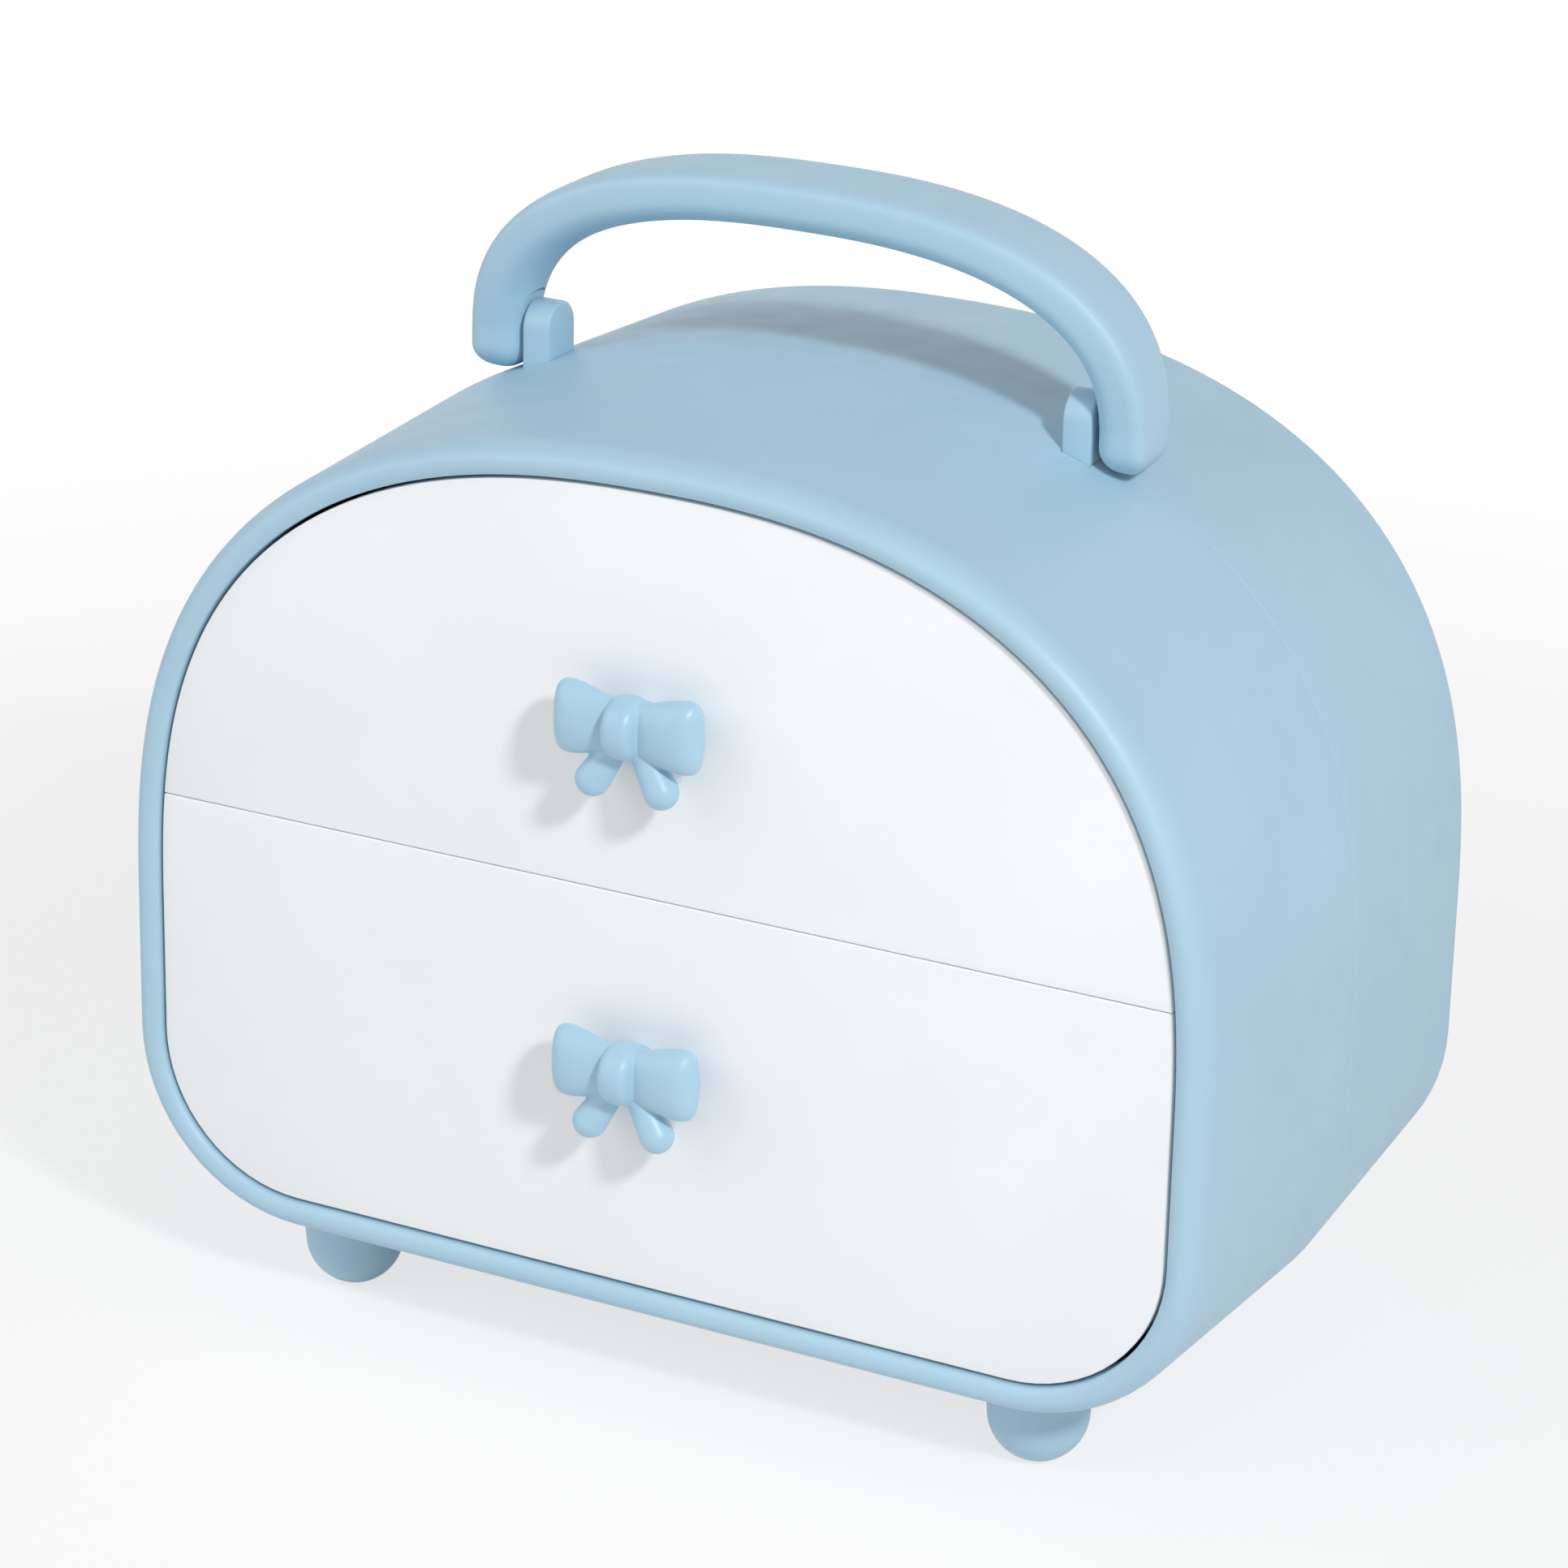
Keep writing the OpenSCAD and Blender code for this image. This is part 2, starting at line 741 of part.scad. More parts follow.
module lower_drawer_front() {
    pegs_at = peg_h(tray_lift, lower_tray_h);
    drawer_front(-front_h, split_h - split_gap / 2, pegs_at, lower_bow_h);
}

// One ring of a bow's loop, from the knot (0) to the outer end (1)
function loop_ring(u) =
    let (
        turn = loop_end_turn * u,
        out = pow(sin(turn), 2 / loop_end_power),
        tall = lerp(loop_neck_h, loop_h * loop_swell, out) / 2 * pow(cos(turn), 2 / loop_end_power),
        thick = lerp(loop_t * loop_neck_share, loop_t, out) / 2 * pow(cos(turn), 2 / loop_side_power),
        x = lerp(knot_w * loop_root_share, bow_w / 2, out)
    )
    [
        for (i = [0 : loop_sides - 1])
            let (
                around = 360 * i / loop_sides,
                y = -pow(abs(cos(around)), 2 / loop_side_power) * sign(cos(around)),
                z = pow(abs(sin(around)), 2 / loop_side_power) * sign(sin(around))
            )
            [x, loop_sweep * out * out + thick * y, tall * z]
    ];

module bow_tail() {
    translate([0, tail_set, 0])
        rotate([-tail_lean, 0, 0])
            rotate([0, 180 - tail_angle, 0]) {
                cylinder(r1 = tail_r * tail_root_share, r2 = tail_r, h = tail_l);
                translate([0, 0, tail_l])
                    sphere(r = tail_r);
            }
}

module bow_knot() {
    side = [
        for (k = [-knot_steps : knot_steps])
            let (turn = 90 * k / knot_steps)
            [knot_r * pow(cos(turn), 2 / knot_side_power),
             knot_w / 2 * pow(abs(sin(turn)), 2 / knot_end_power) * sign(turn)]
    ];
    rotate([0, 90, 0])
        rotate_extrude()
            polygon(side);
}

module bow_knob(bow_h) {
    color(case_blue)
        difference() {
            translate([0, face_y - bow_reach, front_lift + bow_h]) {
                both_sides() {
                    skin([for (k = [0 : loop_steps]) loop_ring(k / loop_steps)]);
                    bow_tail();
                }
                bow_knot();
                rotate([-90, 0, 0])
                    cylinder(r = stem_r, h = bow_reach);
            }
            translate([0, 0, front_lift + bow_h])
                along_y(screw_r + press_gap, -knob_screw_grip - press_gap, 2 * knob_screw_grip);
        }
}

module upper_bow_knob() {
    bow_knob(upper_bow_h);
}

module lower_bow_knob() {
    bow_knob(lower_bow_h);
}

module upper_knob_screw() {
    translate([0, 0, front_lift + upper_bow_h])
        screw(front_t, front_t + knob_screw_grip);
}

module lower_knob_screw() {
    translate([0, 0, front_lift + lower_bow_h])
        screw(front_t + tray_t, front_t + tray_t + knob_screw_grip);
}

front_shell();
rear_shell();
divider_shelf();
left_handle_lug();
right_handle_lug();
front_left_foot();
front_right_foot();
rear_left_foot();
rear_right_foot();
case_screws();
carry_handle();
left_handle_pin();
right_handle_pin();
upper_drawer_tray();
upper_drawer_front();
upper_bow_knob();
upper_knob_screw();
lower_drawer_tray();
lower_drawer_front();
lower_bow_knob();
lower_knob_screw();
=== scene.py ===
import math

import bmesh
import bpy
from mathutils import Matrix, Vector


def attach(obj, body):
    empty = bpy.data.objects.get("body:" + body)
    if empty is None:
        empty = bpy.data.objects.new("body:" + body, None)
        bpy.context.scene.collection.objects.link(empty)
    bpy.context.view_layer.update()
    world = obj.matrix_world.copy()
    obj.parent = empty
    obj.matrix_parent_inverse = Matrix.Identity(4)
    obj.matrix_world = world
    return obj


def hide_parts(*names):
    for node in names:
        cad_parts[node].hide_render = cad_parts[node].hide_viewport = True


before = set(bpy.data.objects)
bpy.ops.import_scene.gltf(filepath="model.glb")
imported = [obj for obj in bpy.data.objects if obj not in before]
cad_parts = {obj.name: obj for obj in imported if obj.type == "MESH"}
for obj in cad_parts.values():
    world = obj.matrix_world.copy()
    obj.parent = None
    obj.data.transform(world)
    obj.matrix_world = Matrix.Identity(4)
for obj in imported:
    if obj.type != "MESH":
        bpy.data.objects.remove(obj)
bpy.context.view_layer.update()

# Sizes are in millimetres and angles in degrees. They are those of the solids, apart
# from the softened edges and the fineness of the meshes.
MM = 0.001

# Drawer fronts
FRONT_W = 184
FRONT_H = 135.7
CORNER_R = 25.9
SPRING_H = 49.2
ARCH_SIDE_POWER = 2.38
ARCH_TOP_POWER = 2.7
SPLIT_H = 68.4
FRONT_T = 3
FRONT_GAP = 0.6
SPLIT_GAP = 0.2
FRONT_LIFT = 20.7

# Case
CASE_D = 110.5
SEAM_D = 54
RIM_R = 5.9
RIM_LEAD = 1.5
RIM_BEAD = 2.2
SEAM_FLARE = 8
BACK_FLARE = 5
WALL = 2.6
LIP_D = 6
BACK_ROUND = 2.5
TONGUE_D = 2
PUSH_FIT = 0.1

# Shelf, runners and trays
SHELF_T = 2.4
LEDGE_W = 5
LEDGE_T = 3
RUNNER_W = 3
RUNNER_INSET = 34
SLIDE_GAP = 0.3
TRAY_INSET = 8
TRAY_T = 2
LOWER_TRAY_R = 18
UPPER_TRAY_R = 4
LOWER_TRAY_RISE = 15.5
UPPER_TRAY_DROP = 2.5
TRAY_LIFT = 2
TRAVEL = 75
EAR_T = 3
EAR_H = 6
EAR_CATCH = 1.8
PEG_R = 2
PEG_X = 40
PEG_DROP = 9.6

# Bow knobs
UPPER_BOW_H = 99.5
LOWER_BOW_H = 40.6
BOW_W = 25.7
LOOP_H = 13.1
LOOP_NECK_H = 8
LOOP_T = 9.4
LOOP_SWEEP = 0.7
LOOP_END_POWER = 5.5
LOOP_SIDE_POWER = 2.1
LOOP_END_TURN = 86
LOOP_SWELL = 1.08
LOOP_NECK_SHARE = 0.42
LOOP_ROOT_SHARE = 1 / 6
KNOT_R = 5.2
KNOT_W = 6
KNOT_END_POWER = 3
KNOT_SIDE_POWER = 4
BOW_REACH = 6.6
TAIL_R = 2.9
TAIL_L = 11.5
TAIL_ANGLE = 32
TAIL_SET = 1.4
TAIL_LEAN = 7
TAIL_ROOT_SHARE = 0.6
STEM_R = 2.5

# Carry handle
HANDLE_SPAN = 113.6
HANDLE_RISE = 28.2
HANDLE_POWER = 2.5
HANDLE_ARCH_DROP = 2.6
LEG_DROP = 8
GRIP_T = 9.2
GRIP_D = 18.4
LEG_D = 12.4
GRIP_OUTER_POWER = 5
GRIP_INNER_POWER = 2.2
LUG_T = 5
LUG_D = 8.8
PIVOT_RISE = 6.6
LEG_GAP = 0.45
LUG_RELIEF = 1.6

# Feet and screws
FOOT_R = 8.4
FOOT_NECK_R = 9.2
FOOT_FLAT_R = 3
FOOT_INSET = 1.3
FOOT_DEPTH = 16
SOCKET_D = 0.4
SCREW_R = 1.5
SCREW_HEAD_R = 2.8
CASE_SCREW_L = 16
TUBE_R = 4.6
LOWER_SCREW_LIFT = 9
UPPER_SCREW_TURN = 42
BOSS_L = 12
BOSS_RIB_T = 3
HEAD_LAND = 0.9

# Softened edges
SEAM_EDGE_R = 0.22
FRONT_EDGE_R = 0.2
TRAY_EDGE_R = 0.5
LUG_EDGE_R = 0.45
EDGE_STEPS = 3
SHARP_TURN = 30
FOOT_EDGE_SHARE = 0.9
LARGEST_FILLET_SHARE = 0.48

# Fineness of the meshes
CORNER_STEPS = 16
ARCH_STEPS = 56
RIM_STEPS = 14
DEPTH_STEPS = 10
FILLET_STEPS = 4
HANDLE_STEPS = 110
HANDLE_SIDES = 48
CAP_STEPS = 12
LEG_END_TURN = 3
KNOT_END_STEP = 0.3
TURN_STEPS = 64
LOOP_STEPS = 26
LOOP_SIDES = 40
BOW_VOXEL = 0.2
BOW_SMOOTHING = 3
BOW_SMOOTHING_SHARE = 0.5
WELD_REACH = 0.01

# The photograph's camera, placed from the fronts' lower middle in half widths
CAMERA_TURN = 27.1964
CAMERA_TILT = 21.0106
CAMERA_ROLL = 1.2459
CAMERA_ASIDE = 0.2545
CAMERA_ABOVE = 0.8916
CAMERA_AWAY = 9.5112
FOCAL_SHARE = 6600.66 / 1932
SENSOR_W = 36

# Materials: grains per metre, depths of relief in metres
TONE_GRAIN = 28
SHEEN_GRAIN = 140
MOULD_GRAIN = 2600
MOULD_RELIEF = 0.00006
PLASTIC_IOR = 1.49
TURNING_GRAIN = 900
TURNING_STRETCH = (1, 0.1, 1)
TURNING_RELIEF = 0.00004
TURNING_STRENGTH = 0.12
STEEL_DARK = (0.52, 0.53, 0.55)
STEEL_LIGHT = (0.66, 0.67, 0.69)
NOISE_LOW = 0.3
NOISE_HIGH = 0.7

# Stage
FLOOR_REACH = 4000
FLOOR_ROUGHNESS = 0.9
LAMP_AIM = (0, 0, 100)

HALF_W = FRONT_W / 2
FACE_Y = (BOW_REACH + KNOT_R - CASE_D) / 2
SEAM_Y = FACE_Y + SEAM_D
RIM_END = RIM_R - RIM_LEAD
SHELF_TOP = SPLIT_H + SHELF_T / 2
SHELF_BOTTOM = SPLIT_H - SHELF_T / 2
TRAY_W = FRONT_W - 2 * TRAY_INSET
TRAY_BACK = CASE_D - WALL - SLIDE_GAP
UPPER_TRAY_Z = SHELF_TOP + SLIDE_GAP
LOWER_TRAY_H = LOWER_BOW_H + LOWER_TRAY_RISE - TRAY_LIFT
EAR_D = LIP_D + TRAVEL + SLIDE_GAP
LOWER_SCREW_H = TRAY_LIFT + LOWER_TRAY_R + EAR_H + LOWER_SCREW_LIFT
FOOT_X = HALF_W - CORNER_R - FOOT_INSET
TUBE_SEAT = CASE_SCREW_L - BOSS_L + WALL
BOSS_OUT = BACK_FLARE - BACK_ROUND - SCREW_HEAD_R - HEAD_LAND
LUG_OUT_X = HANDLE_SPAN / 2 - GRIP_T / 2 - LEG_GAP
LUG_IN_X = LUG_OUT_X - LUG_T


def direction(turn, tilt):
    """The direction at a turn to the right of the front and a tilt above the floor."""
    a, e = math.radians(turn), math.radians(tilt)
    return Vector((math.sin(a) * math.cos(e), -math.cos(a) * math.cos(e), math.sin(e)))


def make_camera():
    turn, roll = math.radians(CAMERA_TURN), math.radians(CAMERA_ROLL)
    back = direction(CAMERA_TURN, CAMERA_TILT)
    flat_right = Vector((math.cos(turn), math.sin(turn), 0))
    flat_up = back.cross(flat_right)
    right = flat_right * math.cos(roll) + flat_up * math.sin(roll)
    up = flat_up * math.cos(roll) - flat_right * math.sin(roll)
    offset = (right * CAMERA_ASIDE + up * CAMERA_ABOVE + back * CAMERA_AWAY) * HALF_W
    place = offset + Vector((0, FACE_Y, FRONT_LIFT))
    data = bpy.data.cameras.new("camera")
    data.sensor_width = SENSOR_W
    data.lens = SENSOR_W * FOCAL_SHARE
    camera = bpy.data.objects.new("camera", data)
    bpy.context.scene.collection.objects.link(camera)
    turned = Matrix((right, up, back)).transposed().to_4x4()
    camera.matrix_world = Matrix.Translation(place * MM) @ turned
    bpy.context.scene.camera = camera


def lerp(a, b, u):
    return a + (b - a) * u


def signed_power(value, power):
    return math.copysign(abs(value) ** power, value)


def even_share(u, p, q):
    """Share of a quarter turn that spaces points evenly along an arch of two powers."""
    from_start = u ** (p / 2)
    from_end = (1 - u) ** (q / 2)
    return from_start / (from_start + from_end)


def arch_place(turn):
    """A place on the arch as x, height, outward x and outward height."""
    x = math.cos(math.radians(turn)) ** (2 / ARCH_SIDE_POWER)
    h = math.sin(math.radians(turn)) ** (2 / ARCH_TOP_POWER)
    rise = FRONT_H - SPRING_H
    slope_x = ARCH_SIDE_POWER / HALF_W * x ** (ARCH_SIDE_POWER - 1)
    slope_h = ARCH_TOP_POWER / rise * h ** (ARCH_TOP_POWER - 1)
    size = math.hypot(slope_x, slope_h)
    return HALF_W * x, SPRING_H + rise * h, slope_x / size, slope_h / size


def corner_place(angle):
    c, s = math.cos(math.radians(angle)), math.sin(math.radians(angle))
    return HALF_W - CORNER_R + CORNER_R * c, CORNER_R + CORNER_R * s, c, s


def make_outline():
    """The fronts' outline, from its lower right round to its lower left."""
    half = [corner_place(-90 + 90 * k / CORNER_STEPS) for k in range(CORNER_STEPS + 1)]
    for k in range(ARCH_STEPS):
        half.append(arch_place(90 * even_share(k / ARCH_STEPS, ARCH_TOP_POWER, ARCH_SIDE_POWER)))
    left = [(-x, h, -nx, nh) for x, h, nx, nh in reversed(half)]
    return half + [(0, FRONT_H, 0, 1)] + left


OUTLINE = make_outline()


def outline_x(h):
    """Half width of the fronts at a height."""
    if h < CORNER_R:
        return HALF_W - CORNER_R + math.sqrt(CORNER_R ** 2 - (CORNER_R - h) ** 2)
    if h <= SPRING_H:
        return HALF_W
    share = (h - SPRING_H) / (FRONT_H - SPRING_H)
    return HALF_W * (1 - share ** ARCH_TOP_POWER) ** (1 / ARCH_SIDE_POWER)


def arch_height(x, out):
    """Height of the outline, moved out by a distance, above an x."""
    low, high = 0, 90
    for _ in range(40):
        middle = (low + high) / 2
        place = arch_place(middle)
        if place[0] + out * place[2] > x:
            low = middle
        else:
            high = middle
    return place[1] + out * place[3]


UPPER_TRAY_H = arch_height(TRAY_W / 2, 0) - UPPER_TRAY_DROP - UPPER_TRAY_Z
PIVOT_Z = FRONT_LIFT + arch_height(LUG_OUT_X, SEAM_FLARE) + PIVOT_RISE


def flare(depth):
    """How far the case stands out from the outline at a depth behind the rim."""
    if depth < SEAM_D:
        return lerp(RIM_R, SEAM_FLARE, (depth - RIM_END) / (SEAM_D - RIM_END))
    return lerp(SEAM_FLARE, BACK_FLARE, (depth - SEAM_D) / (CASE_D - SEAM_D))


def ring(depth, out):
    """The outline moved outwards, at a depth."""
    return [(x + out * nx, FACE_Y + depth, FRONT_LIFT + h + out * nh) for x, h, nx, nh in OUTLINE]


def new_mesh(name, points, faces):
    """An object in the scene from points in millimetres, its faces turned outwards."""
    mesh = bpy.data.meshes.new(name)
    mesh.from_pydata([tuple(c * MM for c in p) for p in points], [], faces)
    work = bmesh.new()
    work.from_mesh(mesh)
    bmesh.ops.recalc_face_normals(work, faces=work.faces)
    work.to_mesh(mesh)
    work.free()
    made = bpy.data.objects.new(name, mesh)
    bpy.context.scene.collection.objects.link(made)
    return made


def loft(name, rings, looped=False):
    """Joins rings of points: looped rings join last to first, others get end caps."""
    count = len(rings[0])
    last = len(rings) - 1
    faces = []
    for j in range(len(rings) if looped else last):
        here, there = j * count, (j + 1) % len(rings) * count
        for i in range(count):
            n = (i + 1) % count
            faces.append((here + i, here + n, there + n, there + i))
    if not looped:
        faces.append(tuple(range(count))[::-1])
        faces.append(tuple(last * count + i for i in range(count)))
    return new_mesh(name, [p for r in rings for p in r], faces)


def prism(name, shape, offset, length):
    """A flat shape, given as points in space, swept by an offset of a given length."""
    step = Vector(offset).normalized() * length
    return loft(name, [[Vector(p) for p in shape], [Vector(p) + step for p in shape]])


def box(name, low, high):
    (x0, y0, z0), (x1, y1, z1) = low, high
    return prism(name, [(x0, y0, z0), (x1, y0, z0), (x1, y0, z1), (x0, y0, z1)], (0, 1, 0), y1 - y0)


def circle(middle, r, axis, count=TURN_STEPS):
    """Points of a circle round a middle, square to the x or y axis."""
    points = []
    for k in range(count):
        c, s = r * math.cos(2 * math.pi * k / count), r * math.sin(2 * math.pi * k / count)
        points.append((middle[0], middle[1] + c, middle[2] + s) if axis == "x"
                      else (middle[0] + c, middle[1], middle[2] + s))
    return points


def rod(name, middle, r, axis, length):
    step = (1, 0, 0) if axis == "x" else (0, 1, 0)
    return prism(name, circle(middle, r, axis), step, length)


def mirrored(x, points):
    return [(x * p[0], p[1], p[2]) for p in points]


def rounded(corners, closed):
    """A path through corners of (a, b, radius), with an arc at each corner that has a radius."""
    path = []
    for k, (a, b, r) in enumerate(corners):
        here = Vector((a, b))
        ends = not closed and k in (0, len(corners) - 1)
        if r == 0 or ends:
            path.append(here)
            continue
        before = Vector(corners[k - 1][:2]) - here
        after = Vector(corners[(k + 1) % len(corners)][:2]) - here
        reach = min(r, LARGEST_FILLET_SHARE * min(before.length, after.length))
        start, stop = here + before.normalized() * reach, here + after.normalized() * reach
        for j in range(FILLET_STEPS + 1):
            u = j / FILLET_STEPS
            path.append(start.lerp(here, u).lerp(here.lerp(stop, u), u))
    return path


def settle(obj):
    """Makes the object's modifiers part of its mesh."""
    graph = bpy.context.evaluated_depsgraph_get()
    old = obj.data
    obj.data = bpy.data.meshes.new_from_object(obj.evaluated_get(graph))
    obj.modifiers.clear()
    bpy.data.meshes.remove(old)


def combine(target, operation, parts):
    """Joins parts to the target or cuts them from it, and removes them."""
    group = bpy.data.collections.new("parts")
    bpy.context.scene.collection.children.link(group)
    for part in parts:
        bpy.context.scene.collection.objects.unlink(part)
        group.objects.link(part)
    change = target.modifiers.new("combine", "BOOLEAN")
    change.operation = operation
    change.operand_type = "COLLECTION"
    change.collection = group
    change.solver = "EXACT"
    settle(target)
    for part in parts:
        mesh = part.data
        bpy.data.objects.remove(part)
        bpy.data.meshes.remove(mesh)
    bpy.data.collections.remove(group)


def soften(obj, width):
    """Rounds the object's sharp edges."""
    edge = obj.modifiers.new("soften", "BEVEL")
    edge.width = width * MM
    edge.segments = EDGE_STEPS
    edge.limit_method = "ANGLE"
    edge.angle_limit = math.radians(SHARP_TURN)
    edge.use_clamp_overlap = True
    edge.harden_normals = False
    settle(obj)


def shade(obj, sharp=32):
    obj.data.shade_smooth()
    obj.data.set_sharp_from_angle(angle=math.radians(sharp))


def dress(obj, material, body, slot, *nodes):
    """Gives a finished piece its material and its body, and hides the solids that it stands for."""
    obj.data.materials.clear()
    obj.data.materials.append(material)
    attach(obj, body)
    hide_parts(*nodes)


def boss_places():
    """Middles of the four screws, and the outward directions at them."""
    for x, h, nx, nh in ((HALF_W, LOWER_SCREW_H, 1, 0), arch_place(UPPER_SCREW_TURN)):
        for side in (-1, 1):
            yield side * (x + BOSS_OUT * nx), FRONT_LIFT + h + BOSS_OUT * nh, side * nx, nh


def rails(start, end):
    """Ledges under the shelf and runners under the lower drawer, between two depths."""
    sink = WALL / 2
    made = []
    side_x = outline_x(SPLIT_H)
    low = FRONT_LIFT + SHELF_BOTTOM - LEDGE_T
    for side in (-1, 1):
        ledge = [
            (side_x - LEDGE_W, FACE_Y + start, low),
            (side_x + flare(start) - sink, FACE_Y + start, low),
            (side_x + flare(end) - sink, FACE_Y + end, low),
            (side_x - LEDGE_W, FACE_Y + end, low),
        ]
        made.append(prism("ledge", mirrored(side, ledge), (0, 0, 1), LEDGE_T))
        x = HALF_W - RUNNER_INSET - RUNNER_W / 2
        top = FRONT_LIFT + TRAY_LIFT - SLIDE_GAP
        runner = [
            (x, FACE_Y + start, FRONT_LIFT + sink - flare(start)),
            (x, FACE_Y + end, FRONT_LIFT + sink - flare(end)),
            (x, FACE_Y + end, top),
            (x, FACE_Y + start, top),
        ]
        made.append(prism("runner", mirrored(side, runner), (side, 0, 0), RUNNER_W))
    return made


def lug_slots():
    low = PIVOT_Z - PIVOT_RISE - 2 * WALL
    made = []
    for side in (-1, 1):
        ends = sorted((side * (LUG_IN_X - PUSH_FIT), side * (LUG_OUT_X + PUSH_FIT)))
        reach = LUG_D / 2 + PUSH_FIT
        made.append(box("slot", (ends[0], SEAM_Y - reach, low), (ends[1], SEAM_Y + reach, PIVOT_Z)))
    return made


def depths(start, end):
    """Depths between two ends, spaced evenly and without the ends themselves."""
    return [lerp(start, end, k / DEPTH_STEPS) for k in range(1, DEPTH_STEPS)]


def make_front_shell(material):
    lap = WALL / 2
    flank, rim = [], []
    for k in range(RIM_STEPS + 1):
        turn = math.radians(90 * k / RIM_STEPS)
        c, s = math.cos(turn), math.sin(turn)
        flank.append((-RIM_LEAD * s, FRONT_GAP + RIM_BEAD * (1 - c), 0))
        rim.append((RIM_R * (1 - c) - RIM_LEAD, lerp(FRONT_GAP + RIM_BEAD, RIM_R, s), 0))
    path = flank[:-1] + rim
    path += [(d, flare(d), 0) for d in depths(RIM_END, SEAM_D)]
    path += [
        (SEAM_D, SEAM_FLARE, SEAM_EDGE_R),
        (SEAM_D, SEAM_FLARE - lap, 0),
        (SEAM_D + TONGUE_D, SEAM_FLARE - lap - PUSH_FIT, SEAM_EDGE_R),
        (SEAM_D + TONGUE_D, SEAM_FLARE - WALL, SEAM_EDGE_R),
        (SEAM_D, SEAM_FLARE - WALL, 0),
    ]
    path += [(d, flare(d) - WALL, 0) for d in depths(SEAM_D, LIP_D)]
    path += [(LIP_D, flare(LIP_D) - WALL, 0), (LIP_D, FRONT_GAP, SEAM_EDGE_R)]
    rings = [ring(d, out) for d, out in rounded(path, True)]
    shell = loft("front_shell_moulding", rings, looped=True)
    parts = rails(LIP_D - WALL / 2, SEAM_D - PUSH_FIT)
    holes = []
    for x, z, nx, nz in boss_places():
        start = FACE_Y + SEAM_D - BOSS_L
        parts.append(rod("boss", (x, start, z), TUBE_R, "y", BOSS_L))
        out = Vector((nx, 0, nz))
        across = Vector((-nz, 0, nx)) * BOSS_RIB_T / 2
        foot = Vector((x, start, z))
        tip = foot + out * (SEAM_FLARE - WALL / 2 - BOSS_OUT)
        rib = [foot - across, tip - across, tip + across, foot + across]
        parts.append(prism("rib", rib, (0, 1, 0), BOSS_L))
        holes.append(rod("hole", (x, start - WALL, z), SCREW_R, "y", BOSS_L + 2 * WALL))
    combine(shell, "UNION", parts)
    combine(shell, "DIFFERENCE", holes + lug_slots())
    shade(shell)
    dress(shell, material, "case", "blue_plastic", "front_shell")


def make_rear_shell(material):
    lap = WALL / 2
    edge = []
    for k in range(RIM_STEPS + 1):
        turn = math.radians(90 * k / RIM_STEPS)
        depth = CASE_D - BACK_ROUND * (1 - math.sin(turn))
        edge.append((depth, flare(depth) - BACK_ROUND * (1 - math.cos(turn)), 0))
    inner_back = flare(CASE_D - WALL) - WALL
    path = [(CASE_D - WALL, inner_back - WALL, 0), (CASE_D - WALL, inner_back, SEAM_EDGE_R)]
    path += [(d, flare(d) - WALL, 0) for d in depths(CASE_D - WALL, SEAM_D + TONGUE_D + PUSH_FIT)]
    path += [
        (SEAM_D + TONGUE_D + PUSH_FIT, flare(SEAM_D + TONGUE_D) - WALL, 0),
        (SEAM_D + TONGUE_D + PUSH_FIT, SEAM_FLARE - lap, 0),
        (SEAM_D, SEAM_FLARE - lap + PUSH_FIT, 0),
        (SEAM_D, SEAM_FLARE, SEAM_EDGE_R),
    ]
    path += [(d, flare(d), 0) for d in depths(SEAM_D, CASE_D - BACK_ROUND)] + edge
    path.append((CASE_D, edge[-1][1] - WALL, 0))
    rings = [ring(d, out) for d, out in rounded(path, False)]
    shell = loft("rear_shell_moulding", rings)
    parts = rails(SEAM_D + TONGUE_D + 2 * PUSH_FIT, CASE_D - WALL / 2)
    holes = []
    for x, z, _, _ in boss_places():
        start = FACE_Y + SEAM_D
        parts.append(rod("tube", (x, start + PUSH_FIT, z), TUBE_R, "y", CASE_D - WALL / 2 - SEAM_D))
        hole_r, well_r = SCREW_R + PUSH_FIT, SCREW_HEAD_R + PUSH_FIT
        holes.append(rod("hole", (x, start - WALL, z), hole_r, "y", 2 * WALL + TUBE_SEAT))
        holes.append(rod("well", (x, start + TUBE_SEAT, z), well_r, "y", CASE_D - SEAM_D))
    combine(shell, "UNION", parts)
    combine(shell, "DIFFERENCE", holes + lug_slots())
    shade(shell)
    dress(shell, material, "case", "blue_plastic", "rear_shell")


def make_lugs(material):
    for side, word in ((-1, "left"), (1, "right")):
        low = PIVOT_Z - PIVOT_RISE - 2 * WALL
        shape = [(side * LUG_IN_X, SEAM_Y - LUG_D / 2, low)]
        for k in range(TURN_STEPS // 2 + 1):
            turn = math.pi * k / (TURN_STEPS // 2)
            y = SEAM_Y - LUG_D / 2 * math.cos(turn)
            shape.append((side * LUG_IN_X, y, PIVOT_Z + LUG_D / 2 * math.sin(turn)))
        shape.append((side * LUG_IN_X, SEAM_Y + LUG_D / 2, low))
        lug = prism(word + "_lug_moulding", shape, (side, 0, 0), LUG_T)
        soften(lug, LUG_EDGE_R)
        shade(lug)
        dress(lug, material, "case", "blue_plastic", word + "_handle_lug")


def foot_seat_z(depth):
    """Height at which a foot at a depth meets the floor of its socket."""
    return FRONT_LIFT - min(flare(depth - FOOT_NECK_R), flare(depth + FOOT_NECK_R)) + SOCKET_D


def turned_solid(name, profile, place):
    """A profile of (radius, height) turned round an upright axis."""
    rings = []
    for r, z in profile:
        points = []
        for k in range(TURN_STEPS):
            turn = 2 * math.pi * k / TURN_STEPS
            x, y = place[0] + r * math.cos(turn), place[1] + r * math.sin(turn)
            points.append((x, y, place[2] + z))
        rings.append(points)
    return loft(name, rings)


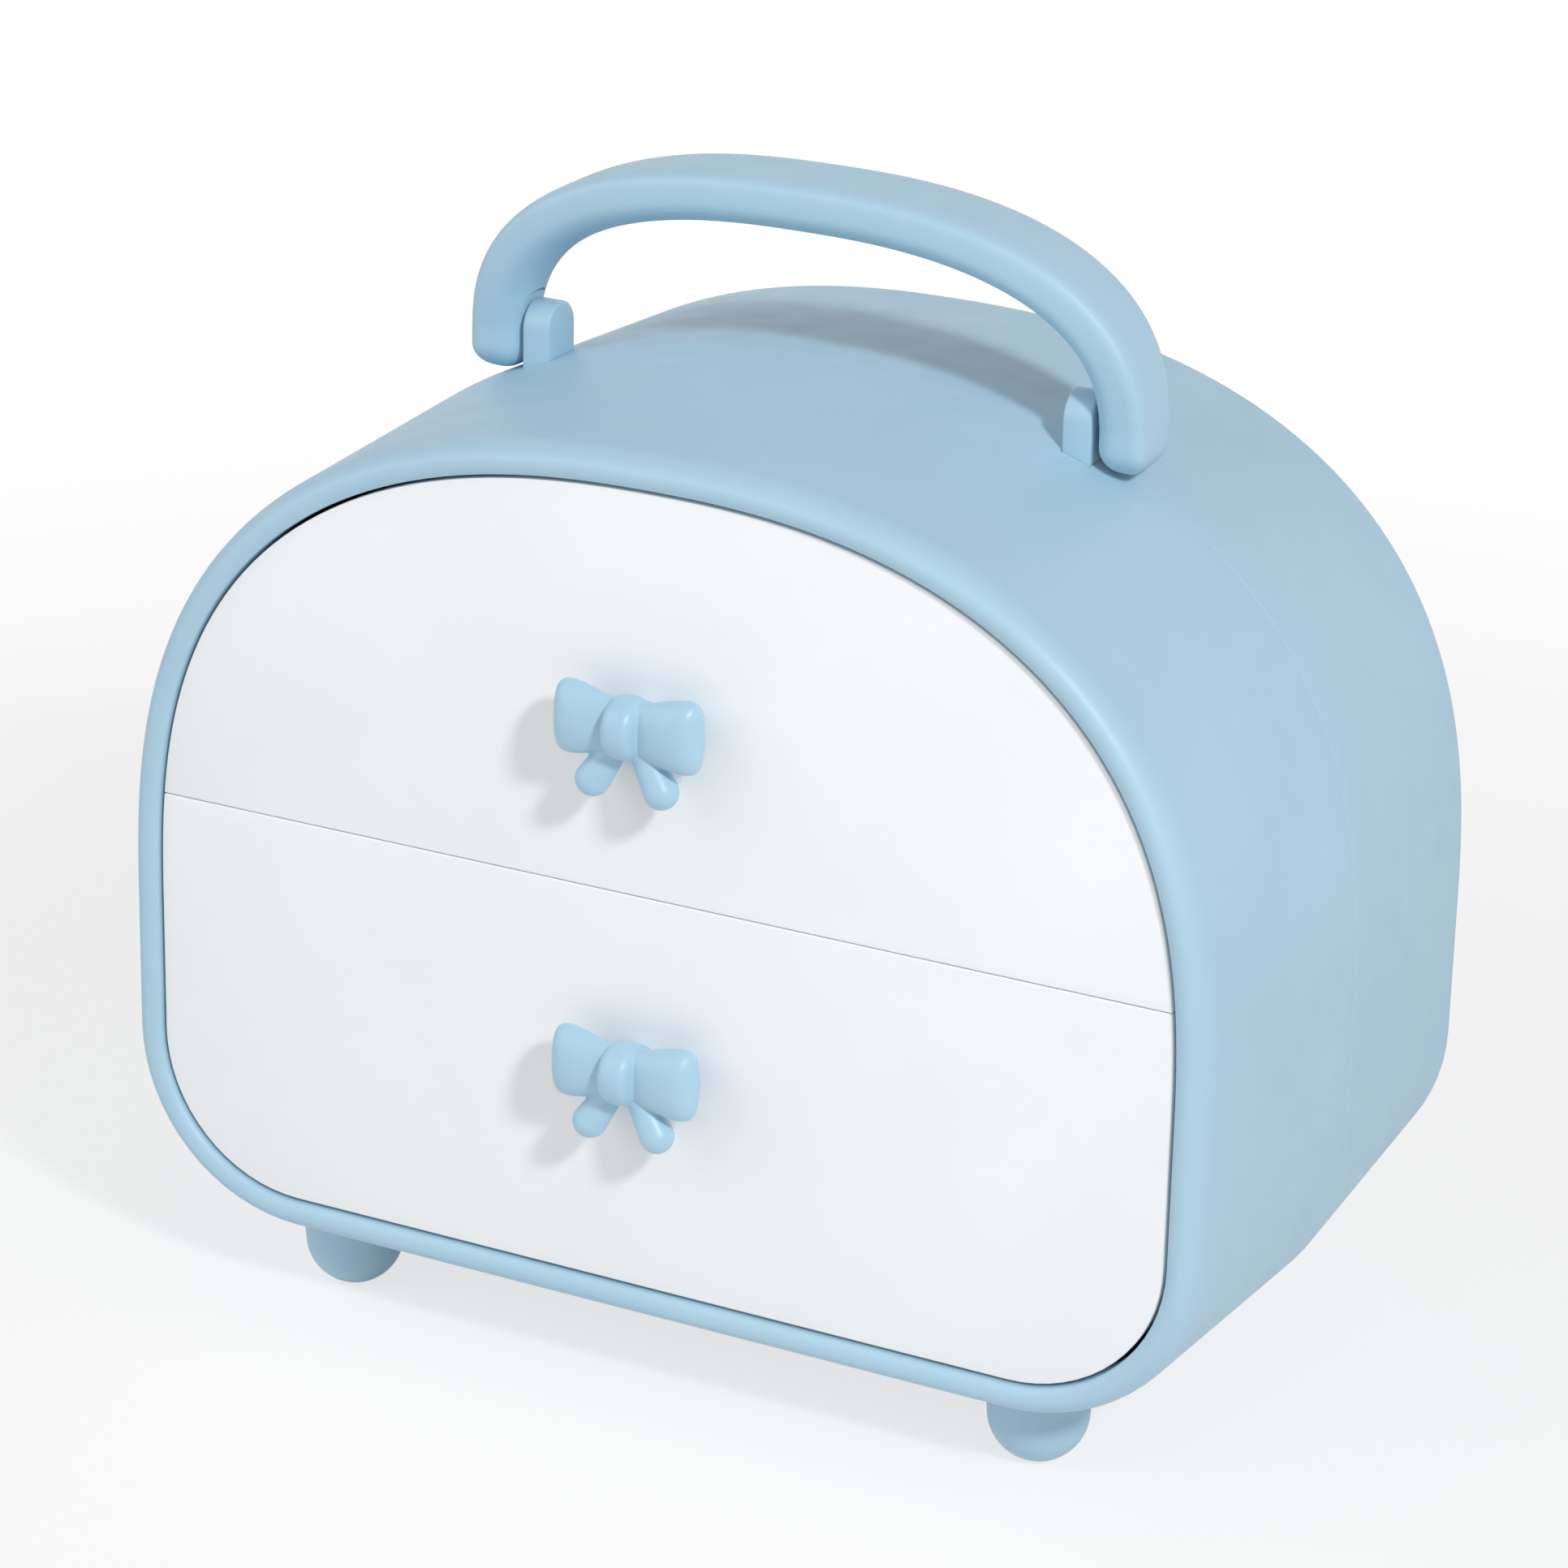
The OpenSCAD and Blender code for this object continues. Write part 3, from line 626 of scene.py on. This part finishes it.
def make_feet(material):
    middle = math.sqrt(FOOT_R ** 2 - FOOT_FLAT_R ** 2)
    start = math.asin(FOOT_FLAT_R / FOOT_R)
    for row, depth in (("front", FOOT_DEPTH), ("rear", CASE_D - FOOT_DEPTH)):
        seat = foot_seat_z(depth)
        profile = [(FOOT_FLAT_R * FOOT_EDGE_SHARE, 0)]
        for k in range(CAP_STEPS * 2 + 1):
            turn = lerp(start, math.pi / 2, k / (CAP_STEPS * 2))
            profile.append((FOOT_R * math.sin(turn), middle - FOOT_R * math.cos(turn)))
        profile += [(lerp(FOOT_R, FOOT_NECK_R, u), lerp(middle, seat, u)) for u in (0.5, 1)]
        for side, word in ((-1, "left"), (1, "right")):
            name = row + "_" + word + "_foot"
            foot = turned_solid(name + "_moulding", profile, (side * FOOT_X, FACE_Y + depth, 0))
            shade(foot, sharp=40)
            dress(foot, material, "case", "blue_plastic", name)


def handle_ring(middle, ahead, share):
    """One ring of the handle about a middle point, across a direction of travel."""
    reach = max(0, min(1, middle[1] / HANDLE_RISE))
    wide = share * lerp(LEG_D, GRIP_D, reach) / 2
    points = []
    for i in range(HANDLE_SIDES):
        turn = -2 * math.pi * i / HANDLE_SIDES
        power = 2 / (GRIP_OUTER_POWER if math.cos(turn) > 0 else GRIP_INNER_POWER)
        across = share * GRIP_T / 2 * signed_power(math.cos(turn), power)
        aside = wide * signed_power(math.sin(turn), power)
        x, z = middle[0] + ahead[1] * across, PIVOT_Z + middle[1] - ahead[0] * across
        points.append((x, SEAM_Y + aside, z))
    return points


def handle_middle(k):
    u = 2 * k / HANDLE_STEPS
    turn = math.radians(90 * even_share(min(u, 2 - u), HANDLE_POWER, HANDLE_POWER))
    x = math.cos(turn) ** (2 / HANDLE_POWER) * (1 if u <= 1 else -1)
    h = math.sin(turn) ** (2 / HANDLE_POWER)
    return Vector((HANDLE_SPAN / 2 * x, lerp(-HANDLE_ARCH_DROP, HANDLE_RISE, h)))


def leg_end(side):
    """The rounded end of a leg, from its tip to the full section."""
    radius = GRIP_T / 2
    rings = []
    for k in range(CAP_STEPS + 1):
        turn = math.radians(lerp(LEG_END_TURN, 90, k / CAP_STEPS))
        middle = (side * HANDLE_SPAN / 2, radius * (1 - math.cos(turn)) - LEG_DROP)
        rings.append(handle_ring(middle, (0, side), math.sin(turn)))
    return rings


def make_handle(material):
    middles = [handle_middle(k) for k in range(HANDLE_STEPS + 1)]
    rings = leg_end(1)
    for k in range(1, HANDLE_STEPS):
        rings.append(handle_ring(middles[k], (middles[k + 1] - middles[k - 1]).normalized(), 1))
    rings += reversed(leg_end(-1))
    handle = loft("handle_moulding", rings)
    reach = LUG_T + GRIP_T + LEG_GAP
    pockets = []
    for start in (LUG_IN_X - GRIP_T, -LUG_OUT_X - LEG_GAP):
        pockets.append(rod("pocket", (start, SEAM_Y, PIVOT_Z), LUG_D / 2 + LUG_RELIEF, "x", reach))
    combine(handle, "DIFFERENCE", pockets)
    shade(handle)
    dress(handle, material, "handle", "blue_plastic", "carry_handle")


def peg_height(base, height):
    return FRONT_LIFT + base + height - PEG_DROP


def make_front(word, shape, peg_z, material):
    """One drawer front from its outline, with softened edges and its two pegs."""
    outline = [(x, FACE_Y, FRONT_LIFT + h) for x, h in shape]
    plate = prism(word + "_drawer_face", outline, (0, 1, 0), FRONT_T)
    soften(plate, FRONT_EDGE_R)
    pegs = [rod("peg", (x, FACE_Y + FRONT_T / 2, peg_z), PEG_R, "y", FRONT_T / 2 + TRAY_T)
            for x in (-PEG_X, PEG_X)]
    combine(plate, "UNION", pegs)
    shade(plate)
    dress(plate, material, word + "_drawer", "white_plastic", word + "_drawer_front")


def make_fronts(material):
    low, high = SPLIT_H - SPLIT_GAP / 2, SPLIT_H + SPLIT_GAP / 2
    upper = [(outline_x(high), high)]
    upper += [(x, h) for x, h, _, _ in OUTLINE if h > high]
    upper.append((-outline_x(high), high))
    right = [(x, h) for x, h, _, _ in OUTLINE if h < low and x > 0]
    lower = right + [(outline_x(low), low), (-outline_x(low), low)]
    lower += [(-x, h) for x, h in reversed(right)]
    make_front("upper", upper, peg_height(UPPER_TRAY_Z, UPPER_TRAY_H), material)
    make_front("lower", lower, peg_height(TRAY_LIFT, LOWER_TRAY_H), material)


def tray_block(start, end, w, base, h, r):
    """An upright block with round lower edges, between two depths."""
    steps = TURN_STEPS // 4
    shape = []
    for side in (1, -1):
        turns = range(steps + 1) if side == 1 else range(steps, -1, -1)
        for k in turns:
            turn = math.pi / 2 * k / steps
            x = w / 2 - r + r * math.sin(turn)
            shape.append((side * x, FACE_Y + start, FRONT_LIFT + base + r - r * math.cos(turn)))
        if side == 1:
            shape.append((w / 2, FACE_Y + start, FRONT_LIFT + base + h))
            shape.append((-w / 2, FACE_Y + start, FRONT_LIFT + base + h))
    return prism("block", shape, (0, 1, 0), end - start)


def make_tray(word, base, height, r, hole_z, hole_r, material):
    tray = tray_block(FRONT_T, TRAY_BACK, TRAY_W, base, height, r)
    tray.name = word + "_drawer_bin"
    inside = tray_block(FRONT_T + TRAY_T, TRAY_BACK - TRAY_T, TRAY_W - 2 * TRAY_T,
                        base + TRAY_T, height, r - TRAY_T)
    combine(tray, "DIFFERENCE", [inside])
    soften(tray, TRAY_EDGE_R)
    low = base + r
    ear_x = outline_x(low + EAR_H / 2) + EAR_CATCH
    ears = []
    for ends in ((TRAY_W / 2 - TRAY_T / 2, ear_x), (-ear_x, TRAY_T / 2 - TRAY_W / 2)):
        ears.append(box("ear", (ends[0], FACE_Y + EAR_D, FRONT_LIFT + low),
                        (ends[1], FACE_Y + EAR_D + EAR_T, FRONT_LIFT + low + EAR_H)))
    combine(tray, "UNION", ears)
    start = FACE_Y + FRONT_T - TRAY_T
    peg_z = peg_height(base, height)
    holes = [rod("hole", (x, start, peg_z), PEG_R, "y", 3 * TRAY_T) for x in (-PEG_X, PEG_X)]
    holes.append(rod("hole", (0, start, FRONT_LIFT + hole_z), hole_r, "y", 3 * TRAY_T))
    combine(tray, "DIFFERENCE", holes)
    shade(tray)
    dress(tray, material, word + "_drawer", "white_plastic", word + "_drawer_tray")


def loop_rings(side):
    """Rings of a bow's loop, from the knot to its outer end."""
    rings = []
    for k in range(LOOP_STEPS + 1):
        turn = math.radians(LOOP_END_TURN * k / LOOP_STEPS)
        out = math.sin(turn) ** (2 / LOOP_END_POWER)
        closing = math.cos(turn)
        tall = lerp(LOOP_NECK_H, LOOP_H * LOOP_SWELL, out) / 2 * closing ** (2 / LOOP_END_POWER)
        thick = lerp(LOOP_T * LOOP_NECK_SHARE, LOOP_T, out) / 2 * closing ** (2 / LOOP_SIDE_POWER)
        x = lerp(KNOT_W * LOOP_ROOT_SHARE, BOW_W / 2, out)
        points = []
        for i in range(LOOP_SIDES):
            around = 2 * math.pi * i / LOOP_SIDES
            y = -signed_power(math.cos(around), 2 / LOOP_SIDE_POWER)
            z = signed_power(math.sin(around), 2 / LOOP_SIDE_POWER)
            points.append((side * x, LOOP_SWEEP * out * out + thick * y, tall * z))
        rings.append(points)
    return rings


def knot_rings():
    rings = []
    for k in range(-CAP_STEPS, CAP_STEPS + 1):
        turn = math.pi / 2 * k / (CAP_STEPS + KNOT_END_STEP)
        r = KNOT_R * math.cos(turn) ** (2 / KNOT_SIDE_POWER)
        x = KNOT_W / 2 * signed_power(math.sin(turn), 2 / KNOT_END_POWER)
        rings.append(circle((x, 0, 0), r, "x"))
    return rings


def tail_rings(side):
    """Rings of a drop-shaped tail that hangs outwards from the knot."""
    spread = math.radians(TAIL_ANGLE)
    lean = Matrix.Rotation(-math.radians(TAIL_LEAN), 3, "X")
    down = lean @ Vector((side * math.sin(spread), 0, -math.cos(spread)))
    across = lean @ Vector((math.cos(spread), 0, side * math.sin(spread)))
    back = lean @ Vector((0, 1, 0))
    root = Vector((0, TAIL_SET, 0))
    profile = [(u * TAIL_L, TAIL_R * lerp(TAIL_ROOT_SHARE, 1, u)) for u in (0, 0.25, 0.5, 0.75, 1)]
    for k in range(1, CAP_STEPS):
        turn = math.pi / 2 * k / CAP_STEPS
        profile.append((TAIL_L + TAIL_R * math.sin(turn), TAIL_R * math.cos(turn)))
    rings = []
    for along, r in profile:
        points = []
        for k in range(LOOP_SIDES):
            around = 2 * math.pi * k / LOOP_SIDES
            out = across * (r * math.cos(around)) + back * (r * math.sin(around))
            points.append(root + down * along + out)
        rings.append(points)
    return rings


def make_bow():
    """A bow about the middle of its knot, melted into one moulding."""
    parts = [loft("loop", loop_rings(side)) for side in (-1, 1)]
    parts += [loft("tail", tail_rings(side)) for side in (-1, 1)]
    parts.append(loft("knot", knot_rings()))
    parts.append(rod("stem", (0, 0, 0), STEM_R, "y", BOW_REACH))
    whole = bmesh.new()
    for part in parts:
        whole.from_mesh(part.data)
        bpy.data.objects.remove(part)
    mesh = bpy.data.meshes.new("upper_bow")
    whole.to_mesh(mesh)
    whole.free()
    bow = bpy.data.objects.new("upper_bow_moulding", mesh)
    bpy.context.scene.collection.objects.link(bow)
    melt = bow.modifiers.new("melt", "REMESH")
    melt.mode = "VOXEL"
    melt.voxel_size = BOW_VOXEL * MM
    ease = bow.modifiers.new("ease", "SMOOTH")
    ease.iterations = BOW_SMOOTHING
    ease.factor = BOW_SMOOTHING_SHARE
    settle(bow)
    return bow


def make_bows(material):
    """The upper drawer's bow, and its copy on the lower drawer."""
    upper = make_bow()
    lower = bpy.data.objects.new("lower_bow_moulding", upper.data.copy())
    bpy.context.scene.collection.objects.link(lower)
    for bow, word, height in ((upper, "upper", UPPER_BOW_H), (lower, "lower", LOWER_BOW_H)):
        place = Vector((0, FACE_Y - BOW_REACH, FRONT_LIFT + height)) * MM
        bow.data.transform(Matrix.Translation(place))
        shade(bow, sharp=180)
        dress(bow, material, word + "_drawer", "bow_plastic", word + "_bow_knob")


class Tree:
    """A material's nodes, made one after another and joined by socket names."""

    def __init__(self, name):
        self.material = bpy.data.materials.new(name)
        self.material.use_nodes = True
        self.nodes = self.material.node_tree.nodes
        self.links = self.material.node_tree.links
        self.shader = self.nodes["Principled BSDF"]

    def add(self, kind, **values):
        made = self.nodes.new(kind)
        for key, value in values.items():
            setattr(made, key, value)
        return made

    def link(self, source, target):
        self.links.new(source, target)

    def noise(self, scale, detail=2.0, stretch=(1, 1, 1)):
        """Noise over the object's own places, in grains per metre."""
        place = self.add("ShaderNodeTexCoord")
        spread = self.add("ShaderNodeMapping")
        spread.inputs["Scale"].default_value = stretch
        grain = self.add("ShaderNodeTexNoise")
        grain.inputs["Scale"].default_value = scale
        grain.inputs["Detail"].default_value = detail
        self.link(place.outputs["Object"], spread.inputs["Vector"])
        self.link(spread.outputs["Vector"], grain.inputs["Vector"])
        return grain.outputs["Fac"]

    def ramp(self, factor, low, high):
        """A number that follows noise from low to high."""
        made = self.add("ShaderNodeMapRange")
        made.inputs["From Min"].default_value = NOISE_LOW
        made.inputs["From Max"].default_value = NOISE_HIGH
        made.inputs["To Min"].default_value = low
        made.inputs["To Max"].default_value = high
        self.link(factor, made.inputs["Value"])
        return made.outputs["Result"]

    def tint(self, factor, dark, light):
        """A colour that follows noise from dark to light."""
        made = self.add("ShaderNodeValToRGB")
        first, last = made.color_ramp.elements
        first.position, last.position = NOISE_LOW, NOISE_HIGH
        first.color, last.color = (*dark, 1), (*light, 1)
        self.link(factor, made.inputs["Fac"])
        return made.outputs["Color"]

    def bump(self, factor, strength, distance):
        made = self.add("ShaderNodeBump")
        made.inputs["Strength"].default_value = strength
        made.inputs["Distance"].default_value = distance
        self.link(factor, made.inputs["Height"])
        self.link(made.outputs["Normal"], self.shader.inputs["Normal"])


def linear(r, g, b):
    """A screen colour of 0 to 255 as the linear light that shaders take."""
    parts = []
    for value in (r, g, b):
        share = value / 255
        parts.append(share / 12.92 if share <= 0.04045 else ((share + 0.055) / 1.055) ** 2.4)
    return tuple(parts)


def plastic(name, dark, light, smooth, rough, grain):
    """Moulded plastic: slow drifts of tone, an uneven sheen and a fine moulded grain."""
    tree = Tree(name)
    tone = tree.tint(tree.noise(TONE_GRAIN, detail=3), linear(*dark), linear(*light))
    sheen = tree.ramp(tree.noise(SHEEN_GRAIN, detail=4), smooth, rough)
    tree.link(tone, tree.shader.inputs["Base Color"])
    tree.link(sheen, tree.shader.inputs["Roughness"])
    tree.bump(tree.noise(MOULD_GRAIN, detail=3), grain, MOULD_RELIEF)
    tree.shader.inputs["IOR"].default_value = PLASTIC_IOR
    return tree.material


def steel(name, smooth, rough):
    """Bright steel with fine turning marks."""
    tree = Tree(name)
    marks = tree.noise(TURNING_GRAIN, detail=4, stretch=TURNING_STRETCH)
    tree.link(tree.tint(marks, STEEL_DARK, STEEL_LIGHT), tree.shader.inputs["Base Color"])
    tree.link(tree.ramp(marks, smooth, rough), tree.shader.inputs["Roughness"])
    tree.bump(marks, TURNING_STRENGTH, TURNING_RELIEF)
    tree.shader.inputs["Metallic"].default_value = 1.0
    return tree.material


def dress_solids(blue, metal):
    """Materials and soft edges for the solids that show as they are."""
    pins = ["left_handle_pin", "right_handle_pin"]
    screws = ["case_screws", "upper_knob_screw", "lower_knob_screw"]
    for name in pins + screws:
        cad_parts[name].data.materials.clear()
        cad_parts[name].data.materials.append(metal)
    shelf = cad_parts["divider_shelf"]
    shelf.data.materials.clear()
    shelf.data.materials.append(blue)
    join = shelf.modifiers.new("join", "WELD")
    join.merge_threshold = WELD_REACH * MM
    edge = shelf.modifiers.new("edge", "BEVEL")
    edge.width = TRAY_EDGE_R * MM
    edge.segments = EDGE_STEPS
    edge.limit_method = "ANGLE"


def seen_ray(tree):
    """1 for rays from the camera, mirrors and glass, and 0 for rays that carry light."""
    path = tree.nodes.new("ShaderNodeLightPath")
    total = path.outputs["Is Camera Ray"]
    for word in ("Is Glossy Ray", "Is Transmission Ray"):
        larger = tree.nodes.new("ShaderNodeMath")
        larger.operation = "MAXIMUM"
        tree.links.new(total, larger.inputs[0])
        tree.links.new(path.outputs[word], larger.inputs[1])
        total = larger.outputs[0]
    return total


def make_world(ambient):
    world = bpy.data.worlds.new("studio")
    bpy.context.scene.world = world
    world.use_nodes = True
    tree = world.node_tree
    strength = tree.nodes.new("ShaderNodeMapRange")
    strength.inputs["To Min"].default_value = ambient
    strength.inputs["To Max"].default_value = 1.0
    tree.links.new(seen_ray(tree), strength.inputs["Value"])
    shine = tree.nodes["Background"]
    shine.inputs["Color"].default_value = (1, 1, 1, 1)
    tree.links.new(strength.outputs["Result"], shine.inputs["Strength"])


def floor_white(tone, veil, near, far):
    """White that shows a shadow through a veil near the object, and no shadow further off."""
    tree = Tree("floor_white")
    tree.shader.inputs["Base Color"].default_value = (tone, tone, tone, 1)
    tree.shader.inputs["Roughness"].default_value = FLOOR_ROUGHNESS
    tree.shader.inputs["Specular IOR Level"].default_value = 0.0
    place = tree.add("ShaderNodeTexCoord")
    distance = tree.add("ShaderNodeVectorMath", operation="LENGTH")
    tree.link(place.outputs["Object"], distance.inputs[0])
    fade = tree.add("ShaderNodeMapRange", interpolation_type="SMOOTHSTEP")
    fade.inputs["From Min"].default_value = near
    fade.inputs["From Max"].default_value = far
    fade.inputs["To Min"].default_value = veil
    tree.link(distance.outputs["Value"], fade.inputs["Value"])
    share = tree.add("ShaderNodeMath", operation="MULTIPLY")
    tree.link(fade.outputs["Result"], share.inputs[0])
    tree.link(seen_ray(tree), share.inputs[1])
    white = tree.add("ShaderNodeEmission")
    mix = tree.add("ShaderNodeMixShader")
    tree.link(share.outputs[0], mix.inputs["Fac"])
    tree.link(tree.shader.outputs["BSDF"], mix.inputs[1])
    tree.link(white.outputs["Emission"], mix.inputs[2])
    tree.link(mix.outputs["Shader"], tree.nodes["Material Output"].inputs["Surface"])
    return tree.material


def make_floor(material):
    low, high = -FLOOR_REACH, FLOOR_REACH
    corners = [(low, low, 0), (high, low, 0), (high, high, 0), (low, high, 0)]
    floor = new_mesh("floor", corners, [(0, 1, 2, 3)])
    floor.data.materials.append(material)


def make_lamp(name, turn, tilt, away, size, power):
    """A square soft box, sized in metres, that looks at the object from a turn and a tilt."""
    back = direction(turn, tilt)
    data = bpy.data.lights.new(name, "AREA")
    data.size = size
    data.energy = power
    lamp = bpy.data.objects.new(name, data)
    bpy.context.scene.collection.objects.link(lamp)
    lamp.rotation_mode = "QUATERNION"
    lamp.location = Vector(LAMP_AIM) * MM + back * away
    lamp.rotation_quaternion = (-back).to_track_quat("-Z", "Y")


def make_stage():
    make_world(ambient=0.35)
    make_floor(floor_white(tone=0.9, veil=0.72, near=0.2, far=0.55))
    make_lamp("key", turn=54, tilt=36, away=1.5, size=0.15, power=12)
    make_lamp("fill", turn=-50, tilt=30, away=1.5, size=1.2, power=6.6)


make_camera()
BLUE = plastic("blue_moulding", dark=(168, 202, 221), light=(173, 207, 226),
               smooth=0.42, rough=0.52, grain=0.05)
BOW_BLUE = plastic("bow_moulding", dark=(163, 200, 221), light=(170, 206, 227),
                   smooth=0.36, rough=0.46, grain=0.03)
WHITE = plastic("white_moulding", dark=(243, 245, 247), light=(247, 249, 250),
                smooth=0.34, rough=0.44, grain=0.04)
STEEL = steel("screw_steel", smooth=0.24, rough=0.38)

make_front_shell(BLUE)
make_rear_shell(BLUE)
make_lugs(BLUE)
make_feet(BLUE)
make_handle(BLUE)
make_fronts(WHITE)
make_tray("upper", UPPER_TRAY_Z, UPPER_TRAY_H, UPPER_TRAY_R,
          UPPER_BOW_H, SCREW_HEAD_R + SLIDE_GAP, WHITE)
make_tray("lower", TRAY_LIFT, LOWER_TRAY_H, LOWER_TRAY_R,
          LOWER_BOW_H, SCREW_R + PUSH_FIT, WHITE)
make_bows(BOW_BLUE)
dress_solids(BLUE, STEEL)

make_stage()
bpy.context.scene.view_settings.view_transform = "Standard"
